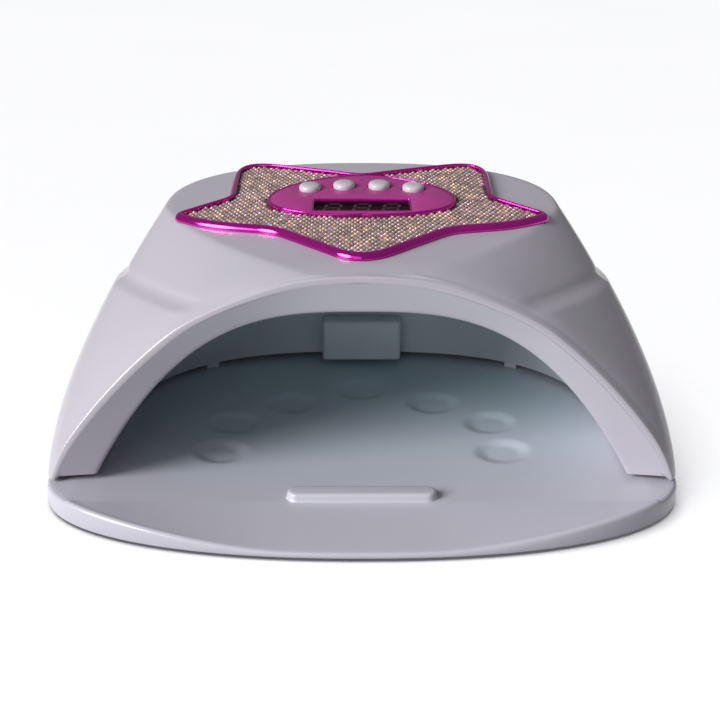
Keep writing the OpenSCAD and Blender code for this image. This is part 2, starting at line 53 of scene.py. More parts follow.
# ---- driving sizes, the same as the CAD part's ------------------------------
HALF_W = 115.2
FOOT_Z = 9.5
BACK_Y = 94.7
SHELL_T = 2.4
LEDGE = 2.0  # how far the dome steps in above the ledge line
LEDGE_W = 2.2
LEDGE_GROOVE = 0.6
RIM_BEAD = 0.6  # how far the shell flares out at the arch
LIP_T = 1.2  # where the arch's rounded lip ends, inwards from the shell's outside
BAND_DIP = 4.0  # depth of the recessed band behind the lip
JACK_HALF_W = 17.3
JACK_Z = (16.1, 29.2)
DOME_H = 87.5
DECK_HALF_W = 79.5
DECK_Z = 84.9
DECK_SLOPE = 0.084
DECK_TOP_Z = 94.88
DECK_MID_Y = 30
TILT = math.atan(DECK_SLOPE)
TRIM_H = 2.8
STAR_HALF = [(0, -35, 16), (33.8, -1.2, 6), (60, 6.6, 12), (75.8, 20.2, 6), (54, 38.6, 4),
             (54.6, 86.5, 21), (0, 64.2, 5)]  # corners in plan and how far each is rounded
CAV_HALF_W = 98.0
CAV_TOP = 69.4
CAV_BACK = 76.0
LINER_Z = 10.2
LINER_Y = -15.0
LINER_FOOT_X = CAV_HALF_W * (1 - (LINER_Z - 8) / (CAV_TOP - 8)) ** (1 / 3)
TRAY_HALF_W = HALF_W + 0.1
TRAY_FRONT = -95.0
TRAY_BACK = 95.0
TRAY_MID = -45.0
TRAY_Z = 1.2
TRAY_UNDER_R = 0.6
LAND_Z = FOOT_Z - 0.4  # the land that the housing stands over
LIP_Z = 3.3  # the scooped lip at its lowest
DIMPLES = [(0, 42.4), (30, 28), (52, 7.2), (54.5, -20), (-30, 28), (-52, 7.2), (-54.5, -20)]
BAR_W, BAR_D, BAR_Y, BAR_TOP = 54.0, 7.6, -57.3, 8.0
CAPS = [(-21.1, 44.4), (-7.2, 47.2), (7.2, 47.2), (21.1, 44.4)]
CAP_R = 4.5
CAP_RISE = 2.3
INDICATOR_Y = 55.3
AXIS_R = 0.001  # a turned form's radius on its axis
PANEL_H = 2.4
PANEL_SEAT = 0.12
WINDOW_W, WINDOW_D, WINDOW_Y = 39.0, 14.4, 24.9
WINDOW_ROUND_STEPS = 5
EYE_Y, EYE_A, EYE_FRONT, EYE_BACK = 33.2, 36.9, 19.2, 28.4
BISECTIONS = 40
WELD_M = 2e-6


# ---- small maths ------------------------------------------------------------
def sup(a, n):
    """Sine or cosine a bent to a superellipse of power n."""
    return np.sign(a) * np.abs(a) ** (2 / n)


def smooth(t):
    """Smoothstep from 0 to 1."""
    u = np.clip(t, 0, 1)
    return u * u * (3 - 2 * u)


def mix(a, b, k):
    return a + (b - a) * k


# ---- materials --------------------------------------------------------------
class Shader:
    """One Principled material, with a few helpers to wire its nodes."""

    def __init__(self, name, color, rough, metal=0.0, coat=0.0, **sockets):
        self.mat = bpy.data.materials.new(name)
        self.mat.use_nodes = True
        self.nodes = self.mat.node_tree.nodes
        self.links = self.mat.node_tree.links
        self.bsdf = self.nodes["Principled BSDF"]
        self.bsdf.inputs["Base Color"].default_value = (*color, 1)
        self.bsdf.inputs["Roughness"].default_value = rough
        self.bsdf.inputs["Metallic"].default_value = metal
        self.bsdf.inputs["Coat Weight"].default_value = coat
        for key, value in sockets.items():
            self.bsdf.inputs[key.replace("_", " ")].default_value = value
        self.coords = self.node("ShaderNodeTexCoord").outputs["Object"]

    def node(self, kind, **values):
        n = self.nodes.new(kind)
        for key, value in values.items():
            setattr(n, key, value)
        return n

    def noise(self, scale, detail=2.0):
        n = self.node("ShaderNodeTexNoise")
        n.inputs["Scale"].default_value = scale
        n.inputs["Detail"].default_value = detail
        self.links.new(self.coords, n.inputs["Vector"])
        return n.outputs["Fac"]

    def ramp(self, fac, low, high, start=0.3, end=0.7):
        """A colour that runs from low to high as fac goes from start to end."""
        r = self.node("ShaderNodeValToRGB")
        r.color_ramp.elements[0].position = start
        r.color_ramp.elements[1].position = end
        r.color_ramp.elements[0].color = (*low, 1)
        r.color_ramp.elements[1].color = (*high, 1)
        self.links.new(fac, r.inputs["Fac"])
        return r.outputs["Color"]

    def spread(self, fac, low, high):
        """A number that runs from low to high as fac goes from 0 to 1."""
        m = self.node("ShaderNodeMapRange")
        m.inputs["To Min"].default_value = low
        m.inputs["To Max"].default_value = high
        self.links.new(fac, m.inputs["Value"])
        return m.outputs["Result"]

    def tint(self, low, high, scale, detail=2.0):
        """Colour that drifts between two tones."""
        color = self.ramp(self.noise(scale, detail), low, high)
        self.links.new(color, self.bsdf.inputs["Base Color"])
        return self

    def polish(self, low, high, scale, detail=3.0):
        """Roughness that varies between two values."""
        rough = self.spread(self.noise(scale, detail), low, high)
        self.links.new(rough, self.bsdf.inputs["Roughness"])
        return self

    def grain(self, scale, strength, distance, detail=2.0):
        """Fine surface relief, distance in metres."""
        b = self.node("ShaderNodeBump")
        b.inputs["Strength"].default_value = strength
        b.inputs["Distance"].default_value = distance
        self.links.new(self.noise(scale, detail), b.inputs["Height"])
        self.links.new(b.outputs["Normal"], self.bsdf.inputs["Normal"])
        return self


def flow_marks(s, rough):
    """Varied polish and the soft waviness of moulded plastic."""
    s.polish(rough * 0.85, rough * 1.2, 60).grain(35, 0.05, 0.0004)
    return s.mat


def moulded(name, light, dark, rough, coat):
    """Injection-moulded gloss plastic with a faint drift of tone."""
    s = Shader(name, light, rough, coat=coat, Coat_Roughness=0.08, IOR=1.5)
    return flow_marks(s.tint(dark, light, 9), rough)


def crystal():
    """Champagne stones: each one takes its tone from where it sits."""
    s = Shader("rhinestone_crystal", (0.5, 0.42, 0.38), 0.34, metal=0.30, coat=0.12, Coat_Roughness=0.12)
    cells = s.node("ShaderNodeTexVoronoi", voronoi_dimensions="3D")
    cells.inputs["Scale"].default_value = 420
    s.links.new(s.coords, cells.inputs["Vector"])
    split = s.node("ShaderNodeSeparateColor")
    s.links.new(cells.outputs["Color"], split.inputs["Color"])
    tones = s.node("ShaderNodeValToRGB")
    ramp = tones.color_ramp
    ramp.elements[0].position, ramp.elements[0].color = 0.0, (0.25, 0.175, 0.17, 1)
    ramp.elements[1].position, ramp.elements[1].color = 1.0, (0.44, 0.37, 0.56, 1)
    for place, color in ((0.35, (0.33, 0.235, 0.22)), (0.72, (0.42, 0.31, 0.285)),
                         (0.86, (0.66, 0.42, 0.27)), (0.94, (0.60, 0.32, 0.38))):
        ramp.elements.new(place).color = (*color, 1)
    s.links.new(split.outputs["Red"], tones.inputs["Fac"])
    s.links.new(tones.outputs["Color"], s.bsdf.inputs["Base Color"])
    return s.mat


# Metres: the painted cavity shade, a cool blue tint that stands in for the bluish shade inside the cavity,
# grows along Y over the first pair, and fades out from the middle over the second.
SHADE_ALONG_Y = (-0.062, 0.050)
SHADE_REACH = (0.092, 0.074)
SHADE_SQUEEZE = (0.87, 1, 0)


def painted_cavity_shade(name, light, dark, inner, rough, coat):
    """Moulded plastic with painted shade: it turns bluer with the cavity's depth, and not on the lamp's
    outside, as a painted stand-in for the cool shade inside the cavity.
    """
    s = Shader(name, light, rough, coat=coat, Coat_Roughness=0.1, IOR=1.5)
    tone = s.ramp(s.noise(9), dark, light)
    split = s.node("ShaderNodeSeparateXYZ")
    s.links.new(s.coords, split.inputs["Vector"])
    depth = s.node("ShaderNodeMapRange")
    depth.inputs["From Min"].default_value, depth.inputs["From Max"].default_value = SHADE_ALONG_Y
    s.links.new(split.outputs["Y"], depth.inputs["Value"])
    squeeze = s.node("ShaderNodeVectorMath", operation="MULTIPLY")
    squeeze.inputs[1].default_value = SHADE_SQUEEZE
    s.links.new(s.coords, squeeze.inputs[0])
    reach = s.node("ShaderNodeVectorMath", operation="LENGTH")
    s.links.new(squeeze.outputs["Vector"], reach.inputs[0])
    within = s.node("ShaderNodeMapRange")
    within.inputs["From Min"].default_value, within.inputs["From Max"].default_value = SHADE_REACH
    s.links.new(reach.outputs["Value"], within.inputs["Value"])
    shade_share = s.node("ShaderNodeMath", operation="MULTIPLY")
    s.links.new(depth.outputs["Result"], shade_share.inputs[0])
    s.links.new(within.outputs["Result"], shade_share.inputs[1])
    blend = s.node("ShaderNodeMix", data_type="RGBA")
    # painted shade: inner is the cool blue tone that stands in for the cavity's shade, mixed in by depth and
    # by nearness to the middle
    blend.inputs["B"].default_value = (*inner, 1)
    s.links.new(shade_share.outputs["Value"], blend.inputs["Factor"])
    s.links.new(tone, blend.inputs["A"])
    s.links.new(blend.outputs["Result"], s.bsdf.inputs["Base Color"])
    return flow_marks(s, rough)


def make_materials():
    """One material per slot, and the dark one behind the stones."""
    m = {}
    m["housing_white"] = moulded("housing_white_gloss", (0.418, 0.396, 0.450), (0.404, 0.380, 0.430),
                                 0.30, 0.30)
    # liner and tray take painted shade: their last colour is the cool blue tint that stands in for the shade
    # inside the cavity
    m["liner_white"] = painted_cavity_shade("liner_satin_painted_shade", (0.400, 0.376, 0.432), (0.385, 0.360, 0.415),
                                   (0.52, 0.61, 0.65), 0.38, 0.12)
    m["tray_white"] = painted_cavity_shade("tray_gloss_painted_shade", (0.46, 0.45, 0.515), (0.44, 0.43, 0.495),
                                  (0.37, 0.475, 0.525), 0.30, 0.25)
    m["cap_white"] = moulded("cap_gloss", (0.50, 0.445, 0.50), (0.475, 0.42, 0.475), 0.22, 0.4)
    chrome = Shader("magenta_chrome", (0.60, 0.014, 0.36), 0.10, metal=0.88, coat=0.3, Coat_Roughness=0.04)
    m["chrome_magenta"] = chrome.tint((0.54, 0.012, 0.33), (0.64, 0.017, 0.38), 30).polish(0.07, 0.16, 90).mat
    satin = Shader("magenta_satin", (0.46, 0.040, 0.27), 0.45, metal=0.30, coat=0.05, Coat_Roughness=0.3)
    satin.tint((0.43, 0.037, 0.255), (0.49, 0.044, 0.285), 25)
    m["panel_magenta"] = satin.grain(1800, 0.12, 0.00004).mat
    m["crystal"] = crystal()
    glass = Shader("smoked_window", (0.006, 0.0015, 0.003), 0.16, IOR=1.08)
    m["window_glass"] = glass.polish(0.12, 0.2, 40).mat
    dark = Shader("black_plastic", (0.025, 0.025, 0.028), 0.45)
    dark.tint((0.02, 0.02, 0.022), (0.035, 0.035, 0.04), 40)
    m["dark_plastic"] = dark.grain(900, 0.2, 0.00005).mat
    segment = Shader("unlit_segment", (0.032, 0.016, 0.019), 0.5)
    m["segment"] = segment.tint((0.027, 0.013, 0.016), (0.037, 0.019, 0.022), 60).mat
    rubber = Shader("grey_rubber", (0.26, 0.26, 0.27), 0.7)
    rubber.tint((0.22, 0.22, 0.23), (0.30, 0.30, 0.31), 60)
    m["foot_rubber"] = rubber.grain(1500, 0.3, 0.00006).mat
    nickel = Shader("nickel", (0.62, 0.61, 0.60), 0.25, metal=1.0)
    m["magnet_steel"] = nickel.polish(0.2, 0.36, 200).grain(600, 0.1, 0.00003).mat
    zinc = Shader("zinc_steel", (0.52, 0.53, 0.55), 0.35, metal=1.0)
    m["screw_steel"] = zinc.polish(0.25, 0.45, 250).grain(700, 0.15, 0.00003).mat
    lens = Shader("led_silicone", (0.85, 0.74, 0.36), 0.2, coat=0.4, Subsurface_Weight=0.15)
    m["led_lens"] = lens.tint((0.82, 0.68, 0.28), (0.88, 0.80, 0.50), 150).mat
    fibre = Shader("circuit_board", (0.03, 0.16, 0.08), 0.35, coat=0.4)
    fibre.tint((0.02, 0.12, 0.06), (0.05, 0.21, 0.10), 220, 6)
    m["circuit_board"] = fibre.grain(900, 0.1, 0.00003).mat
    red = Shader("red_wire", (0.45, 0.03, 0.03), 0.4)
    m["power_wire"] = red.tint((0.38, 0.02, 0.02), (0.50, 0.04, 0.04), 80).mat
    yellow = Shader("yellow_wire", (0.70, 0.50, 0.05), 0.4)
    m["led_wire"] = yellow.tint((0.62, 0.44, 0.04), (0.76, 0.56, 0.08), 80).mat
    backing = Shader("stone_backing", (0.10, 0.08, 0.075), 0.4, metal=0.4)
    m["backing"] = backing.tint((0.08, 0.065, 0.06), (0.13, 0.10, 0.09), 200).mat
    return m


# ---- mesh helpers -----------------------------------------------------------
def mesh(name, verts, faces, material, body, replaces=(), smooth_angle=40):
    """A new piece from millimetre points, shaded smooth below smooth_angle, riding on body."""
    data = bpy.data.meshes.new(name)
    data.from_pydata([tuple(v) for v in np.asarray(verts, float) * MM], [], faces)
    data.validate()
    obj = bpy.data.objects.new(name, data)
    bpy.context.scene.collection.objects.link(obj)
    obj.data.materials.append(material)
    weld_and_point_out(obj)
    shade(obj, smooth_angle)
    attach(obj, body)
    if replaces:
        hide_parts(*replaces)
    return obj


def weld_and_point_out(obj):
    """Doubled points become one, and all faces point outwards."""
    bm = bmesh.new()
    bm.from_mesh(obj.data)
    bmesh.ops.remove_doubles(bm, verts=bm.verts, dist=WELD_M)
    bmesh.ops.recalc_face_normals(bm, faces=bm.faces)
    bm.to_mesh(obj.data)
    bm.free()


def shade(obj, angle):
    """Smooth shading, with a sharp edge wherever the faces meet at more than angle degrees."""
    bm = bmesh.new()
    bm.from_mesh(obj.data)
    limit = math.radians(angle)
    for f in bm.faces:
        f.smooth = True
    for e in bm.edges:
        e.smooth = len(e.link_faces) == 2 and e.calc_face_angle(0) < limit
    bm.to_mesh(obj.data)
    bm.free()


def grid_faces(cols, rows, wrap_cols=False, wrap_rows=False, start=0, skip=None):
    """Quads of a grid of cols x rows points, stored column by column."""
    faces = []
    for c in range(cols if wrap_cols else cols - 1):
        for r in range(rows if wrap_rows else rows - 1):
            if skip and skip(c, r):
                continue
            a, b = c * rows, ((c + 1) % cols) * rows
            q = (r + 1) % rows
            faces.append([start + a + r, start + b + r, start + b + q, start + a + q])
    return faces


# ---- the dome's formula, as in the CAD part ---------------------------------
def up(z):
    """Height above the foot, as a share of the dome's height."""
    return np.maximum(0, (z - FOOT_Z) / DOME_H)


def side_x(z):
    return HALF_W - 41 * up(z) ** 1.78


def front_y(z):
    return -75 + 47 * (0.42 * up(z) + 0.58 * up(z) ** 3.5)


def waist_y(z):
    return -45 + 87 * up(z) ** 1.15


def rear_y(z):
    return BACK_Y - 12.5 * up(z) ** 3.3


def ledge_z(y):
    """Height of the ledge line, which drops a little towards the back."""
    return 70 - 0.08 * (y + 44)


def dome(a, z, t):
    """Point of the dome at height z and outline angle a in degrees, set in by t."""
    front = a < 0
    n = np.where(front, 2.3, 2.6)
    depth = np.where(front, waist_y(z) - front_y(z), rear_y(z) - waist_y(z))
    c, s = np.cos(np.radians(a)), np.sin(np.radians(a))
    x = (side_x(z) - t) * sup(c, n)
    y = waist_y(z) + sup(s, n) * (depth - t)
    rise = z - ledge_z(y)
    sharp = smooth(rise / LEDGE_W + 0.5) * LEDGE + LEDGE_GROOVE * np.exp(-(((rise - 2.2) / 1.3) ** 2))
    k = mix(smooth(rise / 16 + 0.5) * LEDGE, sharp, smooth((y - rim_y(z) - 1) / 6))
    r = np.hypot(x, y - 15)
    return x - k * x / r, y - k * (y - 15) / r


def deck(x, y):
    """Height of the gently crowned deck."""
    droop = np.where(y < -30, 0.008 * (y + 30) ** 2, 0)
    return DECK_Z + DECK_SLOPE * (y + 32) - 0.0004 * x * x - droop


def deck_edge(a, t):
    """Point of the deck's edge at outline angle a, set in by t."""
    front = a < 0
    n = np.where(front, 1.35, 2.65)
    c, s = np.cos(np.radians(a)), np.sin(np.radians(a))
    x = (DECK_HALF_W - t) * sup(c, n)
    y = np.maximum(-40.6, 38 + sup(s, n) * (np.where(front, 88, 49) - t))
    return x, y, deck(x, y) - t


def rim_y(z):
    """The arch's front plane, which leans back."""
    return -53 + 0.15 * (z - FOOT_Z)


def low_z(a, t):
    """Height where the dome ends: its foot, or the arch's front plane."""
    lo, hi = np.full_like(a, FOOT_Z), np.full_like(a, 86.0)
    for _ in range(BISECTIONS):
        m = (lo + hi) / 2
        behind = dome(a, m, t)[1] > rim_y(m)
        hi = np.where(behind, m, hi)
        lo = np.where(behind, lo, m)
    return np.where(dome(a, np.full_like(a, FOOT_Z), t)[1] >= rim_y(FOOT_Z), FOOT_Z, (lo + hi) / 2)


def wall(a, k, t, zl):
    """Point of the wall a share k of the way down from the deck's edge to height zl."""
    ex, ey, ez = deck_edge(a, t)
    z = mix(ez, zl, k)
    x, y = dome(a, z, t)
    dx, dy = dome(a, ez, t)
    f = (1 - k) ** 2.2
    return np.stack([x + (ex - dx) * f, y + (ey - dy) * f, z], -1)


def opening(a, t):
    """Edge of the deck's opening under the panel."""
    x = 32 * sup(np.cos(np.radians(a)), 3)
    s = sup(np.sin(np.radians(a)), 3)
    y = 36 + s * np.where(a < 0, 20.2, 19)
    return np.stack([x, y, deck(x, y) - t], -1)


def outline_angles(count):
    """Outline angles from the front centre to the back centre, eased where the outline runs straight."""
    u = np.linspace(0, 1, count)
    front = -90 + 90 * u
    back = 90 * u ** 1.3 / (u ** 1.3 + (1 - u) ** 1.3)
    return np.concatenate([front, back[1:]])


def mirrored(columns):
    """Columns from front to back on the right side, carried on round the left side."""
    left = columns[1:-1][::-1].copy()
    left[:, :, 0] *= -1
    return np.concatenate([columns, left])


# ---- housing ----------------------------------------------------------------
def clip_ends(columns, cut):
    """Columns shortened by cut at their last row: rows nearer the end collapse onto the cut point."""
    step = np.linalg.norm(np.diff(columns, axis=1), axis=2)
    left = np.concatenate([np.cumsum(step[:, ::-1], axis=1)[:, ::-1], np.zeros((len(columns), 1))], axis=1)
    out = columns.copy()
    for c, column in enumerate(columns):
        keep = int(np.argmax(left[c] < cut[c]))
        span = left[c][keep - 1] - left[c][keep]
        k = (left[c][keep - 1] - cut[c]) / span
        out[c, keep:] = mix(column[keep - 1], column[keep], k)
    return out


def rim_bead(columns, share):
    """Columns flared outwards over their last few millimetres, where they end on the arch."""
    left = columns[:, :, 1] - rim_y(columns[:, :, 2])
    out = (columns - np.array([0, 0, 5])) * np.array([1, 0, 1])
    out /= np.linalg.norm(out, axis=2)[:, :, None]
    return columns + out * (RIM_BEAD * share[:, None] * (1 - smooth(left / 3.2)))[:, :, None]


def shell_columns(a, t, deck_k, wall_k):
    """Columns of the shell from the deck's opening over a rounded edge down the wall, set in by t."""
    zl = low_z(a, t)
    o = opening(a, t)
    e = np.stack(deck_edge(a, t), -1)
    rows = []
    for k in deck_k:
        p = mix(o, e, k)
        p[:, 2] = deck(p[:, 0], p[:, 1]) - t
        rows.append(p)
    near_deck = mix(e, o, (0.9 / np.linalg.norm(o - e, axis=1))[:, None])
    near_deck[:, 2] = deck(near_deck[:, 0], near_deck[:, 1]) - t
    length = np.maximum(e[:, 2] - zl, 0.5)
    near_wall = wall(a, np.minimum(0.9 / length, 0.4), t, zl)
    rows += [near_deck, e * 0.5 + (near_deck + near_wall) * 0.25, near_wall]
    rows += [wall(a, np.maximum(k, np.minimum(1.0 / length, 0.45)), t, zl) for k in wall_k]
    return np.stack(rows, axis=1)


def outer_shell(m):
    """The shell in one closed skin: outside, rounded lip, inside, and the socket's hole."""
    hole_a = math.degrees(math.acos((JACK_HALF_W / HALF_W) ** 1.3))
    a = np.sort(np.append(outline_angles(121), hole_a))
    jack_k = [(DECK_TOP_Z - z) / (DECK_TOP_Z - FOOT_Z) for z in JACK_Z[::-1]]
    deck_k = [0, 0.2, 0.4, 0.55, 0.7, 0.8, 0.88, 0.94]
    wall_k = np.sort(np.concatenate([np.linspace(0.02, 1, 84), jack_k]))
    outer = mirrored(shell_columns(a, 0, deck_k, wall_k))
    inner = mirrored(shell_columns(a, SHELL_T, deck_k, wall_k))
    end_out, end_in = outer[:, -1].copy(), inner[:, -1].copy()
    gap = np.linalg.norm(end_out - end_in, axis=1)
    at_rim = end_out[:, 2] > FOOT_Z + 0.01
    outer = rim_bead(outer, smooth((end_out[:, 2] - FOOT_Z - 2) / 12))
    crest = outer[:, -1].copy()
    outer = clip_ends(outer, np.full(len(outer), 0.7))
    inner = clip_ends(inner, np.where(at_rim, 1.4, 0.6))
    start, land = outer[:, -1], mix(end_out, end_in, (LIP_T / gap)[:, None])
    lip = []
    for k in np.linspace(0, 1, 8)[1:]:
        lip.append((1 - k) ** 3 * start + 3 * k * (1 - k) ** 2 * crest
                   + 3 * k * k * (1 - k) * mix(crest, land, 0.45) + k ** 3 * land)
    columns = np.concatenate([outer, np.stack(lip, 1), inner[:, ::-1]], axis=1)
    count, rows = columns.shape[:2]
    first = len(deck_k) + 3
    hole_rows = [first + int(np.argmin(abs(wall_k - k))) for k in jack_k]
    back = [i for i, v in enumerate(a) if abs(v - hole_a) < 1e-9][0]
    hole_cols = (back, count - back)

    def in_hole(c, r):
        mirror = rows - 2 - r
        inside = any(hole_rows[0] <= q < hole_rows[1] for q in (r, mirror))
        return inside and hole_cols[0] <= c < hole_cols[1]

    faces = grid_faces(count, rows, wrap_cols=True, wrap_rows=True, skip=in_hole)

    def at(c, r):
        return (c % count) * rows + r

    for c in range(*hole_cols):
        for r in hole_rows:
            q = rows - 1 - r
            faces.append([at(c, r), at(c + 1, r), at(c + 1, q), at(c, q)])
    for r in range(*hole_rows):
        for c in hole_cols:
            faces.append([at(c, r), at(c, r + 1), at(c, rows - 2 - r), at(c, rows - 1 - r)])
    mesh("shell_moulding", columns.reshape(-1, 3), faces, m["housing_white"],
         "housing", ["outer_shell"], smooth_angle=50)


def arch_z(x):
    """Height of the tunnel's arch."""
    return 8 + (CAV_TOP - 8) * (1 - np.minimum(1, abs(x) / CAV_HALF_W) ** 3)


def bay(y):
    """Width factor of the tunnel at depth y."""
    u = np.maximum(0, (y - LINER_Y) / (CAV_BACK - LINER_Y))
    return (1 - u ** 2.6) ** (1 / 2.6)


def rim_end():
    """Outline angle at which the rim reaches the foot."""
    lo, hi = -60.0, 0.0
    for _ in range(24):
        m = (lo + hi) / 2
        if low_z(np.array([m]), SHELL_T + 0.5)[0] > FOOT_Z + 0.01:
            lo = m
        else:
            hi = m
    return hi


def liner_columns(t):
    """Columns of the liner from the right foot over the arch to the left foot, grown outwards by t."""
    u = np.linspace(0, 1, 91)
    a = mix(rim_end(), -90.0, 1 - (1 - u) ** 1.25)
    edge_t = LIP_T + 0.02 if t == 0 else SHELL_T + 1
    zl = np.maximum(LINER_Z, low_z(a, edge_t))
    bx, _ = dome(a, zl, edge_t)
    lo, hi = np.full_like(a, 0.3), np.full_like(a, 1.3)
    for _ in range(BISECTIONS):
        q = (lo + hi) / 2
        above = 5 + (zl - 5) * q > arch_z(bx * q)
        hi, lo = np.where(above, q, hi), np.where(above, lo, q)
    sx, sz = bx * lo, 5 + (zl - 5) * lo
    sx[0], sz[0] = LINER_FOOT_X, LINER_Z
    r = np.hypot(sx, sz - 5)
    sx, sz = sx + t * sx / r, sz + t * np.where(u == 0, 0, (sz - 5) / r)
    bx[-1] = sx[-1] = 0
    rows = []
    for f in (0, 0.08, 0.2, 0.4, 0.6, 0.8, 0.9):
        x, z = mix(bx, sx, f), mix(zl, sz, f)
        rows.append(np.stack([x, rim_y(z) + 0.02 + BAND_DIP * f + t, z], -1))
    corner = np.stack([sx, rim_y(sz) + 0.02 + BAND_DIP + t, sz], -1)
    before, after = rows[-1], corner + np.array([0, 1.3, 0])
    for k in (0.2, 0.4, 0.6, 0.8):
        rows.append((1 - k) ** 2 * before + 2 * k * (1 - k) * corner + k * k * after)
    for k in (0, 0.3, 0.65, 1):
        rows.append(np.stack([sx, mix(after[:, 1], LINER_Y, k), sz], -1))
    for g in np.linspace(0, 90, 30)[1:]:
        c = float(sup(np.cos(np.radians(g)), 2.6)) if g < 90 else 0.0
        y = LINER_Y + (CAV_BACK + t - LINER_Y) * float(sup(np.sin(np.radians(g)), 2.6))
        z = LINER_Z + (sz - LINER_Z) * (1 - 0.1 * (1 - c))
        rows.append(np.stack([sx * c, np.full_like(sx, y), z], -1))
    right = np.stack(rows, axis=1)
    left = right[:-1][::-1].copy()
    left[:, :, 0] *= -1
    return np.concatenate([right, left])


def inner_liner(m):
    """The liner's inside and outside, closed along the front edge and both feet."""
    inner, outer = liner_columns(0), liner_columns(2)
    cols, rows = inner.shape[:2]
    size = cols * rows
    faces = grid_faces(cols, rows) + grid_faces(cols, rows, start=size)
    front_edge = [c * rows for c in range(cols)]
    feet = [[c * rows + r for r in range(rows)] for c in (0, cols - 1)]
    for line in (front_edge, *feet):
        faces += [[p, q, size + q, size + p] for p, q in zip(line, line[1:])]
    verts = np.concatenate([inner.reshape(-1, 3), outer.reshape(-1, 3)])
    mesh("liner_moulding", verts, faces, m["liner_white"], "housing", ["inner_liner"],
         smooth_angle=60)


def liner_tabs(m):
    """Two small feet that carry the cavity's rear wall down to the tray."""
    for side, name in ((-1, "left"), (1, "right")):
        verts = []
        for x in np.linspace(63.6, 68.4, 5):
            g = math.acos((x / LINER_FOOT_X) ** 1.3)
            for off, z in ((0, 8.2), (0, LINER_Z + 0.02), (1.9, LINER_Z + 0.02), (1.9, 8.2)):
                y = LINER_Y + (CAV_BACK - LINER_Y) * float(sup(math.sin(g), 2.6))
                verts.append((side * (x + off * 0.6), y + off * 0.8, z))
        faces = grid_faces(5, 4, wrap_rows=True) + [[0, 1, 2, 3], [16, 17, 18, 19]]
        mesh(f"liner_tab_{name}", verts, faces, m["liner_white"], "housing",
             smooth_angle=45)


# ---- lathe, stack and plate builders ---------------------------------------
def lathe(profile, place=(0, 0, 0), axis=(0, 0, 1), steps=48):
    """Verts and faces of a turned form: profile is [(radius, height), ...] along axis from place."""
    turn = Vector((0, 0, 1)).rotation_difference(Vector(axis))
    verts = []
    n = len(profile)
    for i in range(steps):
        g = 2 * math.pi * i / steps
        for r, h in profile:
            verts.append(Vector(place) + turn @ Vector((r * math.cos(g), r * math.sin(g), h)))
    faces = grid_faces(steps, n, wrap_cols=True)
    for row in (0, n - 1):
        if profile[row][0] > 0:
            faces.append([c * n + row for c in range(steps)])
    return verts, faces


def ring_faces(n, low, high):
    """Quads between two closed loops of n points that start at low and high."""
    return [[low + i, low + (i + 1) % n, high + (i + 1) % n, high + i] for i in range(n)]


def stack(line, levels):
    """Closed form from one outline: levels are [(inset, height), ...], capped at both ends."""
    verts = [(*p, h) for d, h in levels for p in inset(line, d)]
    n = len(line)
    faces = []
    for k in range(len(levels) - 1):
        faces += ring_faces(n, k * n, (k + 1) * n)
    faces.append(list(range(n)))
    faces.append([(len(levels) - 1) * n + i for i in range(n)])
    return verts, faces


def inset(line, d):
    """Closed outline moved inwards by d; the outline runs anticlockwise."""
    line = np.asarray(line, float)
    t = np.roll(line, -1, 0) - np.roll(line, 1, 0)
    u = t / np.linalg.norm(t, axis=1)[:, None]
    return line + d * np.stack([-u[:, 1], u[:, 0]], -1)


def rounded_rect(w, d, r, steps=6, cx=0.0, cy=0.0):
    line = []
    for q, (sx, sy) in enumerate([(1, 1), (-1, 1), (-1, -1), (1, -1)]):
        for i in range(steps + 1):
            g = math.radians(90 * q + 90 * i / steps)
            line.append((cx + sx * (w / 2 - r) + r * math.cos(g),
                         cy + sy * (d / 2 - r) + r * math.sin(g)))
    return line


def window_rect(smaller, r):
    """The window's outline, smaller than its hole by a clearance."""
    return rounded_rect(WINDOW_W - smaller, WINDOW_D - smaller, r, WINDOW_ROUND_STEPS, 0, WINDOW_Y)


def circle(cx, cy, r, steps=40):
    turns = [2 * math.pi * i / steps for i in range(steps)]
    return [(cx + r * math.cos(g), cy + r * math.sin(g)) for g in turns]


def joined(parts):
    """Several (verts, faces) as one."""
    verts, faces = [], []
    for v, f in parts:
        faces += [[i + len(verts) for i in face] for face in f]
        verts += [tuple(p) for p in v]
    return verts, faces


def plate(name, outlines, low, high, bevel, material, body, replaces=(), to_frame=None):
    """Flat plate with bevelled edges: the first outline is its edge, the others are holes."""
    verts, faces, rims = [], [], {low: [], high: []}
    for k, line in enumerate(outlines):
        side = -1 if k else 1
        n = len(line)
        edge = [(0, low), (0, high - bevel), (0.3 * bevel, high - 0.3 * bevel), (bevel, high)]
        for d, h in edge:
            if h in rims:
                rims[h].append(range(len(verts), len(verts) + n))
            if h != low:
                a = len(verts)
                faces += ring_faces(n, a - n, a)
            verts += [(*p, h) for p in inset(line, side * d)]
    for loops in rims.values():
        index = [i for loop in loops for i in loop]
        place = {i: k for k, i in enumerate(index)}
        edges = [(place[a], place[b]) for loop in loops
                 for a, b in zip(loop, [*loop[1:], loop[0]])]
        points = [Vector(verts[i][:2]) for i in index]
        flat = delaunay_2d_cdt(points, edges, [], 1, 1e-6)
        holes = [[verts[i][:2] for i in loop] for loop in loops[1:]]
        for tri in flat[2]:
            middle = sum((flat[0][i] for i in tri), Vector((0, 0))) / 3
            if not any(inside(hole, *middle) for hole in holes):
                faces.append([index[flat[3][i][0]] for i in tri])
    verts = [to_frame(v) if to_frame else v for v in verts]
    return mesh(name, verts, faces, material, body, replaces, smooth_angle=35)


# ---- deck furniture ----------------------------------------------------------
def on_deck(p):
    """A point given in plan with its height above the deck's plane, put in the lamp's frame."""
    z0 = float(deck(0, DECK_MID_Y))
    dy = p[1] - DECK_MID_Y
    c, s = math.cos(TILT), math.sin(TILT)
    return (p[0], DECK_MID_Y + dy * c - p[2] * s, z0 + dy * s + p[2] * c)


def on_crown(p):
    """The same over the crowned surface of the deck, straight up from it."""
    return (p[0], p[1], float(deck(p[0], p[1])) + p[2])


